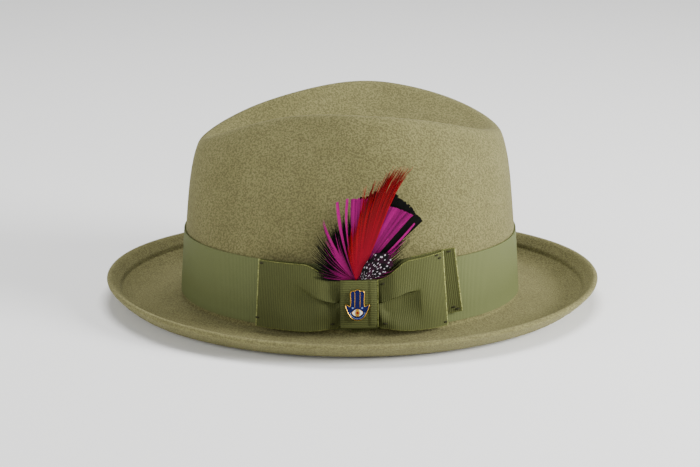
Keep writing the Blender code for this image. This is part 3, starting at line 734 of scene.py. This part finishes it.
# folds of the loops' faces in mm: e runs from the knot to the end, up from the lower edge to the upper one
def frontFolds(e, up):
    above = up - 0.53 - 0.04 * e - 0.6 * max(0.0, e - 0.3)
    over = smooth(above / 0.035 + 0.5)
    fade = 1 - smooth((e - 0.05) / 0.50)
    lip = 2.2 * fade * over * math.exp(-max(above, 0) / 0.14)
    sunk = -2.3 * fade * (1 - over) * math.exp(-max(-above, 0) / 0.12)
    belly = 1.6 * hump(e, 0.10, 0.18) * hump(up, 0.30, 0.20)
    slope = -2.0 * hump(e, 0.47, 0.20) * hump(up, 0.42, 0.24)
    shoulder = up - 0.80 - 0.8 * e
    tuck = -1.1 * (1 - smooth(e / 0.24)) * hump(shoulder, 0, 0.05)
    return lip + sunk + belly + slope + tuck


def rearFolds(e, up):
    above = up - 0.53 - 0.05 * e
    over = smooth(above / 0.035 + 0.5)
    lip = 2.1 * (1 - smooth((e - 0.10) / 0.52)) * over * math.exp(-max(above, 0) / 0.18)
    climb = max(0.0, min(1.0, (e - 0.20) / 0.40))  # the hollow turns away from the light as it climbs
    sunk = -4.3 * smooth(e / 0.2) * (1 - climb**2.4) * (1 - over) * smooth((up - 0.04) / 0.34)
    belly = 1.3 * hump(e, 0.08, 0.13) * hump(up, 0.20, 0.14)
    brow = 0.8 * hump(e, 0.72, 0.12) * hump(up, 0.40, 0.35)
    return lip + sunk + belly + brow


def loopPoint(reach, side, out, face, lift, up):
    knotHalf = bow["knotWidth"] / 2
    nearKnot = 1 - smooth((out - knotHalf) / (0.36 * reach))
    inKnot = 1 - smooth((out - knotHalf * knotSlim) / (2.5 * mm))
    under = ribbon["thick"] + ribbon["gap"] + bow["knotTurn"] / 2
    top = mix(bow["loopRise"] + ribbon["width"] + 1.2 * mm, bow["knotRise"] + bow["knotHeight"] - 1.6 * mm, nearKnot)
    low = mix(mix(bow["loopRise"], bow["loopRise"] + 2.2 * mm, nearKnot), bow["knotRise"] + under - knotLower, inKnot)
    isFace = smooth(face / 0.06)
    clear = smooth((out - knotHalf * 0.9) / (0.22 * reach))
    lift += (bow["loopPuff"] if side < 0 else bow["rearPuff"]) * isFace * clear * math.sin(halfTurn * min(1, face)) ** 0.7
    top -= bow["loopDroop"] * isFace * clear
    e = (out - knotHalf) / (reach - knotHalf)
    top += bow["rearLean"] * max(0.0, e) if side > 0 else 0.0
    if e > 0:
        folds = frontFolds(e, up) if side < 0 else rearFolds(e, up)
        lift += folds * mm * isFace * smooth(e / 0.04) * smooth((1 - e) / 0.08)
    if isFace > 0.5:
        lift = max(lift, loopFace - 0.6 * mm)
    out += (bow["slantFront"] if side < 0 else bow["slantRear"]) * (0.4 - up) * smooth(e * 1.4)
    return onBand(bow["place"] + side * out, mix(low, top, up), lift)


def makeLoop(name, node, reach, side):
    path = loopPath(reach)
    rows = bowLook["rows"]
    walked = [0.0]
    for (a, _, la), (b, _, lb) in zip(path, path[1:]):
        walked.append(walked[-1] + math.hypot(a - b, la - lb))

    def place(column, row):
        out, face, lift = path[column]
        return loopPoint(reach, side, out, face, lift, row / (rows - 1))

    def cloth(column, row):
        return (10 * walked[column], 10 * ribbon["width"] * row / (rows - 1))

    loop = layGrid(name, len(path), rows, place, cloth)
    thicken(loop, ribbon["thick"] * 0.8)
    return finish(loop, shadedGrosgrain, [node])


def knotProfile():
    foot, top = bow["knotRise"] + ribbon["thick"] / 2, bow["knotRise"] + bow["knotHeight"]
    corner = foot + bow["knotTurn"]
    middle, half = (knotFace + knotBack) / 2, (knotFace - knotBack) / 2
    profile = [
        (mix(top, corner, step / 24), knotFace + bow["knotCushion"] * math.sin(halfTurn * step / 24)) for step in range(24)
    ]
    for step in range(13):
        turn = halfTurn * step / 12
        across = math.copysign(abs(math.cos(turn)) ** 0.5, math.cos(turn))
        profile.append((corner - bow["knotTurn"] * math.sin(turn) ** 0.5, middle + half * across))
    profile += [(mix(corner, top, step / 6), knotBack) for step in range(1, 7)]
    return profile


def makeKnot():
    profile = knotProfile()
    rows = 31
    walked = [0.0]
    for (a, la), (b, lb) in zip(profile, profile[1:]):
        walked.append(walked[-1] + math.hypot(a - b, la - lb))

    def place(column, row):
        share = row / (rows - 1)
        arc = mix(-0.5, 0.5, share) * bow["knotWidth"] * knotSlim
        height, lift = profile[column]
        if column < 24:  # the strip's own end is folded under along the rear edge
            lift += 0.45 * mm * smooth((share - 0.76) / 0.03) - 0.25 * mm * hump(share, 0.75, 0.02)
            lift -= 0.5 * mm * (hump(share, 0, 0.05) + hump(share, 1, 0.04))
        return onBand(bow["place"] + arc, height - knotLower, lift)

    def cloth(column, row):
        return (10 * walked[column], 10 * bow["knotWidth"] * row / (rows - 1))

    knot = layGrid("ribbon_knot", len(profile), rows, place, cloth)
    thicken(knot, ribbon["thick"] * 0.8)
    return finish(knot, shadedGrosgrain, ["bow_knot"])


# the place on a loop's face at a way out from the knot's middle
def onLoopFace(side, out, up, proud):
    reach = bow["loopFront"] if side < 0 else bow["loopRear"]
    inner = bow["knotWidth"] / 2 - bow["quillDepth"]
    face = (out - inner) / (reach - (loopFace - loopBack) / 2 - inner)
    return loopPoint(reach, side, out, face, loopFace + proud, up)


def drawCords(name, paths, radius, material, nodes=()):
    bpy.ops.curve.primitive_bezier_curve_add()
    piece = bpy.context.object
    piece.name = name
    curve = piece.data
    curve.splines.clear()
    curve.dimensions = "3D"
    curve.fill_mode = "FULL"
    curve.bevel_depth = radius
    curve.bevel_resolution = 1
    curve.use_fill_caps = True
    for path in paths:
        line = curve.splines.new("POLY")
        line.points.add(len(path) - 1)
        for knot, spot in zip(line.points, path, strict=True):
            knot.co = (*spot, 1)
    keepOnly(piece)
    bpy.ops.object.convert(target="MESH")
    closeSeams(piece)
    return finish(piece, material, nodes, angle=60)


def makeEdges():
    steps = 60
    paths, rolls = [], []
    for side, reach in ((-1, bow["loopFront"]), (1, bow["loopRear"])):
        fold = (loopFace - loopBack) / 2
        ends = (bow["knotWidth"] / 2 * 0.97, reach - fold)
        for up in (0.004, 0.996):
            paths.append([onLoopFace(side, mix(*ends, n / steps), up, 0.05 * mm) for n in range(steps + 1)])
        rolls.append([loopPoint(reach, side, reach - 0.2 * mm, 0.0, loopFace - 0.1 * mm, n / 20) for n in range(21)])
    tailEnd = bow["tailReach"]
    rolls.append([tailPoint(tailEnd, ribbon["width"] * n / 20) for n in range(21)])
    paths.append([tailPoint(mix(tailEnd - 26 * mm, tailEnd, n / 20), ribbon["width"]) for n in range(21)])
    paths.append([tailPoint(mix(tailEnd - 16 * mm, tailEnd, n / 20), 0) for n in range(21)])
    knotEdge = bow["place"] + bow["knotWidth"] / 2 * knotSlim
    low, high = bow["knotRise"] - knotLower + 1.5 * mm, bow["knotRise"] + bow["knotHeight"] - knotLower
    paths.append([
        onBand(knotEdge, mix(low, high, n / 20), knotFace + 0.4 * mm + bow["knotCushion"] * math.sin(halfTurn * n / 20))
        for n in range(21)
    ])
    # the cords take the paler edge colours: painted highlight along the edges and rolled ends
    drawCords("bow_edges", paths, bowLook["edge"], selvedge)
    drawCords("bow_rolled_ends", rolls, bowLook["roll"], rolledEndHighlight)


def makeStitches():
    # tacks: out from the knot's middle in mm, share of the loop's height, side
    tacks = [
        (57.4, 0.955, -1), (58.6, 0.13, -1), (14.6, 0.10, -1), (13.4, 0.90, 1), (14.6, 0.10, 1), (48.3, 0.93, 1),
        (49.8, 0.05, 1), (46.5, 0.98, 1),
    ]
    spots = [(onLoopFace(side, out * mm, up, 0.45 * mm), onLoopFace(side, (out + 1) * mm, up, 0.45 * mm)) for out, up, side in tacks]
    for out, up in ((58.5, 3.0), (60.3, 1.6), (59.5, 36.6), (55.0, 37.2)):
        spots.append((tailPoint(out * mm, up * mm) + Vector((0, -0.5 * mm, 0)), tailPoint((out + 1) * mm, up * mm) + Vector((0, -0.5 * mm, 0))))
    made = []
    for spot, beside in spots:
        # each tack is drawn larger than a real stitch: the dark blob is partly thread, partly painted shade of the
        # gathers round it
        bpy.ops.mesh.primitive_uv_sphere_add(segments=12, ring_count=8, radius=0.64 * mm)
        tack = bpy.context.object
        tack.scale = (2.1, 1.2, 0.8)
        tack.rotation_euler = (beside - spot).to_track_quat("X", "Z").to_euler()
        tack.location = spot
        made.append(tack)
    bpy.ops.object.select_all(action="DESELECT")
    for tack in made:
        tack.select_set(True)
    bpy.context.view_layer.objects.active = made[0]
    bpy.ops.object.transform_apply(location=True, rotation=True, scale=True)
    bpy.ops.object.join()
    stitches = bpy.context.object
    stitches.name = "bow_tacks_with_painted_shade"
    return finish(stitches, tackCottonAndShade)


makeTail()
makeLoop("ribbon_front_loop", "bow_front_loop", bow["loopFront"], -1)
makeLoop("ribbon_rear_loop", "bow_rear_loop", bow["loopRear"], 1)
makeKnot()
makeEdges()
makeStitches()
print("bow is folded")


# feathers

mount = {
    "root": -1.7, "spottedRoot": 0.8, "dip": 6.0, "thick": 0.12, "steps": 9,
    "dropAcross": 2.3, "dropAlong": 3.4, "roundness": 0.121,
}
# each tuft: angles from upright at the tips and reaches in mm, of its first and its last barb, then how many
# barbs, their width, how unequal they are, how far the foot and the middle lean from the tip's angle, tone
blackTufts = [
    (-86, -30, 17, 25, 46, 1.1, 0.25, -6, -4, 0.2),
    (-92, -70, 25, 28, 40, 0.42, 0.45, -6, -4, 0.4), (-74, -46, 28, 34, 60, 0.45, 0.40, -8, -6, 0.4),
    (-50, -20, 34, 39, 60, 0.5, 0.30, -8, -5, 0.4), (-30, 4, 32, 44, 26, 1.4, 0.12, -4, -3, 0.3),
    (2, 14, 48, 52.5, 14, 1.6, 0.05, -2, -2, 0.4), (12, 27, 53, 56, 24, 1.8, 0.03, 0, -2, 0.4),
    (26, 50, 55, 52, 44, 1.8, 0.035, 0, -2, 0.5), (47, 56, 50, 40, 24, 0.5, 0.25, 2, 0, 0.5),
    (52, 72, 44, 27, 44, 0.42, 0.40, 6, 4, 0.4),
]
magentaTufts = [
    (-88, -70, 25, 21, 10, 0.3, 0.45, -6, -4, 0.3), (-70, -40, 20, 30, 9, 0.38, 0.40, -8, -6, 0.5),
    (-44, -33, 26, 34, 7, 0.5, 0.25, -4, -4, 0.6), (-31.5, -28, 39.5, 41, 3, 1.0, 0.04, -5, -6.5, 0.8),
    (-30, -22, 26, 33, 4, 0.5, 0.2, -8, -6, 0.5), (-14.6, -12.8, 46.4, 46.8, 2, 1.3, 0.0, -10, -5, 0.9),
    (-6.8, -5.2, 47.6, 47.7, 2, 1.1, 0.0, -8, -6, 1.0), (-3.2, 9.7, 47.5, 48.1, 12, 1.5, 0.02, -2, -2, 0.75),
    (8, 26, 46.5, 47.2, 14, 1.7, 0.02, 0, -2, 0.6), (24, 42.4, 47.0, 50.4, 30, 1.5, 0.012, -2, -3, 0.55),
    (42.6, 43.2, 50.8, 50.9, 1, 0.9, 0.0, -8, -6, 1.0), (47.1, 47.9, 47.6, 47.7, 1, 1.3, 0.0, 3, 4, 0.9),
    (49, 58, 42, 34, 10, 0.35, 0.3, 3, 3, 0.5), (62, 86, 27, 22, 16, 0.35, 0.4, 4, 4, 0.3),
]
redTufts = [
    (-15, -6, 20, 32, 8, 0.35, 0.25, -4, -4, 0.9), (-6, 4, 32, 42, 12, 0.45, 0.20, -3, -3, 0.8),
    (3, 8.5, 40, 55, 12, 0.8, 0.15, -2, -3, 0.6), (5, 6.5, 55, 57.2, 4, 0.35, 0.05, 0, -4, 0.8),
    (7, 11.5, 48, 62, 8, 1.0, 0.12, 0, -6, 0.5), (10, 12, 60, 63.4, 5, 0.35, 0.06, 1, -6, 0.8),
    (11, 18, 54, 69, 12, 1.1, 0.12, 2, -7, 0.5), (13, 19, 60, 71, 12, 0.4, 0.08, 2, -7, 0.6),
    (17, 24, 66, 73, 18, 1.3, 0.07, 4, -8, 0.4), (18, 25, 70, 73.6, 14, 0.4, 0.05, 4, -8, 0.7),
    (22.5, 27, 69, 74, 14, 1.1, 0.09, 6, -8.5, 0.5), (27.2, 27.6, 74.2, 74.2, 1, 0.9, 0.0, 6.6, -8.7, 1.0),
]
spottedTufts = [
    (12, 30, 8, 17, 18, 1.0, 0.06, 0, 0, 0), (28, 46, 18, 22.5, 22, 1.1, 0.04, 0, 0, 0),
    (44, 66, 23, 21, 24, 1.1, 0.04, 0, 0, 0), (64, 80, 20.5, 13, 18, 0.9, 0.08, 0, 0, 0),
]


def makeFeather(name, node, tufts, root, layer, lean, seed, material, drops=False):
    dice = random.Random(seed)
    strands = []
    for first, last, near, far, count, wide, ragged, foot, middle, tone in tufts:
        for index in range(count):
            share = (index + 0.5) / count
            angle = mix(first, last, share) + dice.uniform(-0.5, 0.5) * (last - first) / count
            reach = mix(near, far, share) * (1 - ragged * dice.random()) * mm
            strands.append({
                "tip": angle, "foot": angle + foot, "middle": angle + middle * dice.uniform(0.7, 1.3), "reach": reach,
                "wide": wide * mm * dice.uniform(0.8, 1.2), "fine": wide < 0.8, "blunt": ragged < 0.06 and wide > 1,
                "tone": max(0.0, min(1.0, tone + dice.uniform(-0.35, 0.35))) if tone < 1 else 1.0,
                "depth": dice.uniform(-0.35, 0.35) * mm + (0.3 * mm if tone == 1.0 else 0.0),
            })
    steps = mount["steps"]
    quillLift = loopFace + ribbon["thick"] / 2 + ribbon["gap"] + bow["vane"] / 2 + layer * (bow["vane"] + ribbon["gap"])
    root = bow["place"] + root * mm
    rootHeight = bow["knotRise"] + bow["knotHeight"] + ribbon["gap"] - knotLower

    def swingAt(strand, t):
        return math.radians(strand["foot"] * (1 - t) ** 2 + 2 * strand["middle"] * t * (1 - t) + strand["tip"] * t**2)

    def place(column, row):
        strand = strands[column // 2]
        side = 1 if column % 2 else -1
        spread = strand["foot"] / 60 * mm
        if row == 0:
            return onBand(root + spread + side * 0.15 * mm, rootHeight - mount["dip"] * mm, quillLift)
        t = (row - 1) / (steps - 1)
        swing = swingAt(strand, t)
        far = strand["reach"] * t
        if strand["blunt"]:
            body = min(1, 0.12 + t * 1.2) * (1 if t < 0.99 else 0.7)
        else:
            body = min(1, 0.2 + 1.6 * t) * max(0.0, 1 - max(0.0, (t - 0.45) / 0.55) ** 1.8)
        half = max(strand["wide"] / 2 * body, 0.02 * mm)
        across = spread * (1 - t) + far * math.sin(swing) + side * half * math.cos(swing)
        up = far * math.cos(swing) - side * half * math.sin(swing)
        lift = quillLift + lean * far + strand["depth"] * t + side * 0.10 * strand["wide"] * t
        across /= 1 + lift / mount["roundness"]  # the crown's curve spreads what stands off it
        return onBand(root + across, rootHeight + up, lift)

    def along(column, row):
        strand = strands[column // 2]
        t = max(0, row - 1) / (steps - 1)
        if drops:
            side = 1 if column % 2 else -1
            outer = math.radians(strand["tip"]) * 22 + side * strand["wide"] / 2 / mm
            return (outer / mount["dropAcross"], strand["reach"] * t / mm / mount["dropAlong"])
        return (strand["tone"], t)

    bpy.context.tool_settings.mesh_select_mode = (False, False, True)
    comb = layGrid(name, 2 * len(strands), steps + 1, lambda column, row: Vector((column, row, 0)), along)
    for face in comb.data.polygons:  # every second strip of the comb is air
        face.select = int(face.center.x) % 2 == 1
    keepOnly(comb)
    bpy.ops.object.mode_set(mode="EDIT")
    bpy.ops.mesh.delete(type="FACE")
    bpy.ops.object.mode_set(mode="OBJECT")
    for vertex in comb.data.vertices:
        vertex.co = place(round(vertex.co.x), round(vertex.co.y))
    thicken(comb, mount["thick"] * mm)
    return finish(comb, material, [node], angle=70)


makeFeather("black_feather", "feather_black", blackTufts, mount["root"], 0, 0.10, 3, blackBarbs)
makeFeather("magenta_feather", "feather_magenta", magentaTufts, mount["root"], 1, 0.13, 5, magentaBarbs)
makeFeather("red_feather", "feather_red", redTufts, mount["root"], 2, 0.16, 7, redBarbs)
makeFeather("spotted_feather", "feather_spotted", spottedTufts, mount["spottedRoot"], 3, 0.22, 9, spottedBarbs, True)
print("feathers are set in the knot")


# enamel pin

pin = {
    "width": 13.8, "height": 17.7, "plate": 0.9, "rim": 0.27, "fill": 0.45, "place": -1.0, "lower": 0.5, "post": 0.6,
    "finger": 1.5, "eyeLong": 3.2, "eyeTall": 2.2, "eyeDrop": 4.5, "iris": 1.4, "pupil": 0.75,
}
pin = {name: size * mm for name, size in pin.items()}
# half of the open hand, from the middle finger's tip to the heel, in shares of its half width and its height
handHalf = [
    (0.00, 0.50), (0.15, 0.488), (0.235, 0.45), (0.38, 0.465), (0.52, 0.44), (0.57, 0.39), (0.565, 0.02),
    (0.61, -0.05), (0.74, -0.03), (0.90, 0.005), (1.00, -0.015), (0.97, -0.07), (0.86, -0.19), (0.68, -0.33),
    (0.42, -0.45),
]


def pinFrame(lift):
    arc, height = bow["place"] + pin["place"], bow["knotRise"] + bow["knotHeight"] / 2 - pin["lower"]
    spot = onBand(arc, height, lift)
    along = (onBand(arc + mm, height, lift) - onBand(arc - mm, height, lift)).normalized()
    up = (onBand(arc, height + mm, lift) - onBand(arc, height - mm, lift)).normalized()
    away = along.cross(up)
    return Matrix.Translation(spot) @ Matrix((along, away.cross(along), away)).transposed().to_4x4()


pinBack = knotFace + bow["knotCushion"] + ribbon["thick"] / 2 + ribbon["gap"]


def drawCurve(name, points, closed, thick=0.0, wire=0.0, inset=0.0, smoothed=True):
    bpy.ops.curve.primitive_bezier_curve_add()
    piece = bpy.context.object
    piece.name = name
    curve = piece.data
    curve.splines.clear()
    curve.dimensions = "2D" if thick else "3D"
    curve.fill_mode = "BOTH" if thick else "FULL"
    curve.extrude = thick / 2
    curve.offset = -inset
    curve.bevel_depth = wire
    curve.bevel_resolution = 3
    curve.resolution_u = 8
    line = curve.splines.new("BEZIER")
    line.bezier_points.add(len(points) - 1)
    line.use_cyclic_u = closed
    for knot, point in zip(line.bezier_points, points, strict=True):
        knot.co = (point[0], point[1], 0)
        knot.handle_left_type = knot.handle_right_type = "AUTO" if smoothed else "VECTOR"
    return piece


def seatOnPin(piece, lift, material, nodes=()):
    piece.matrix_world = pinFrame(lift)
    keepOnly(piece)
    if piece.type == "CURVE":
        bpy.ops.object.convert(target="MESH")
    bpy.ops.object.transform_apply(location=True, rotation=True, scale=True)
    closeSeams(piece)
    return finish(piece, material, nodes, angle=35)


def makePin():
    w, h = pin["width"] / 2, pin["height"]
    outline = [(x * w, y * h) for x, y in handHalf] + [(0, -0.5 * h)]
    outline += [(-x, y) for x, y in reversed(outline[1:-1])]
    base = drawCurve("pin_plate", outline, True, thick=pin["plate"])
    seatOnPin(base, pinBack + pin["plate"] / 2, gilt, ["pin_base"])
    enamel = drawCurve("pin_blue", outline, True, thick=pin["fill"], inset=pin["rim"] * 0.8)
    seatOnPin(enamel, pinBack + pin["plate"] + pin["fill"] / 2, navyEnamel, ["pin_enamel"])
    top = pinBack + pin["plate"] + pin["fill"]
    rim = drawCurve("pin_rim", outline, True, wire=pin["rim"], inset=0)
    seatOnPin(rim, top - pin["rim"] * 0.55, gilt)
    for side, end in ((-1, "front"), (1, "rear")):
        parting = [(side * pin["finger"], level * mm) for level in (7.5, 3.0, -1.4)]
        line = drawCurve("pin_line_" + end, parting, False, wire=0.15 * mm)
        seatOnPin(line, top - 0.02 * mm, gilt)
        petal = [(side * 2.2 * mm, -1.6 * mm), (side * 3.2 * mm, -1.3 * mm), (side * 2.7 * mm, -2.2 * mm)]
        leaf = drawCurve("pin_petal_" + end, petal, True, thick=0.3 * mm)
        seatOnPin(leaf, top + 0.02 * mm, paleEnamelAndHighlight)
    # a pale blue wire along the heel's inside: painted highlight of the rim's inner edge
    heel = [(x * mm, y * mm) for x, y in ((-4.4, -4.2), (-3.4, -6.2), (-1.9, -7.5), (0, -8.0), (1.9, -7.5), (3.4, -6.2), (4.4, -4.2))]
    glint = drawCurve("pin_heel_highlight", heel, False, wire=0.14 * mm)
    seatOnPin(glint, top - 0.02 * mm, paleEnamelAndHighlight)
    long, tall, drop = pin["eyeLong"], pin["eyeTall"], -pin["eyeDrop"]
    almond = []
    for step in range(24):
        turn = 2 * halfTurn * step / 24
        almond.append((long * math.cos(turn), drop + tall * math.copysign(abs(math.sin(turn)) ** 2, math.sin(turn))))
    white = drawCurve("pin_white", almond, True, thick=0.3 * mm, smoothed=False)
    seatOnPin(white, top + 0.10 * mm, whiteEnamel, ["pin_eye"])
    lid = drawCurve("pin_lid", almond, True, wire=0.13 * mm, smoothed=False)
    seatOnPin(lid, top + 0.16 * mm, gilt)
    lozenge = [(0, drop + tall), (pin["iris"], drop), (0, drop - tall), (-pin["iris"], drop)]
    star = drawCurve("pin_iris", lozenge, True, thick=0.3 * mm, smoothed=True)
    seatOnPin(star, top + 0.17 * mm, gilt)
    circle = [(pin["pupil"] * math.cos(t * halfTurn / 4), drop + pin["pupil"] * math.sin(t * halfTurn / 4)) for t in range(8)]
    pupil = drawCurve("pin_pupil", circle, True, thick=0.3 * mm)
    seatOnPin(pupil, top + 0.24 * mm, redEnamel)
    bpy.ops.mesh.primitive_cylinder_add(vertices=24, radius=pin["post"], depth=2.6 * mm)
    post = bpy.context.object
    post.name = "pin_post"
    seatOnPin(post, pinBack - 1.0 * mm, gilt)


makePin()
print("pin is on the knot")
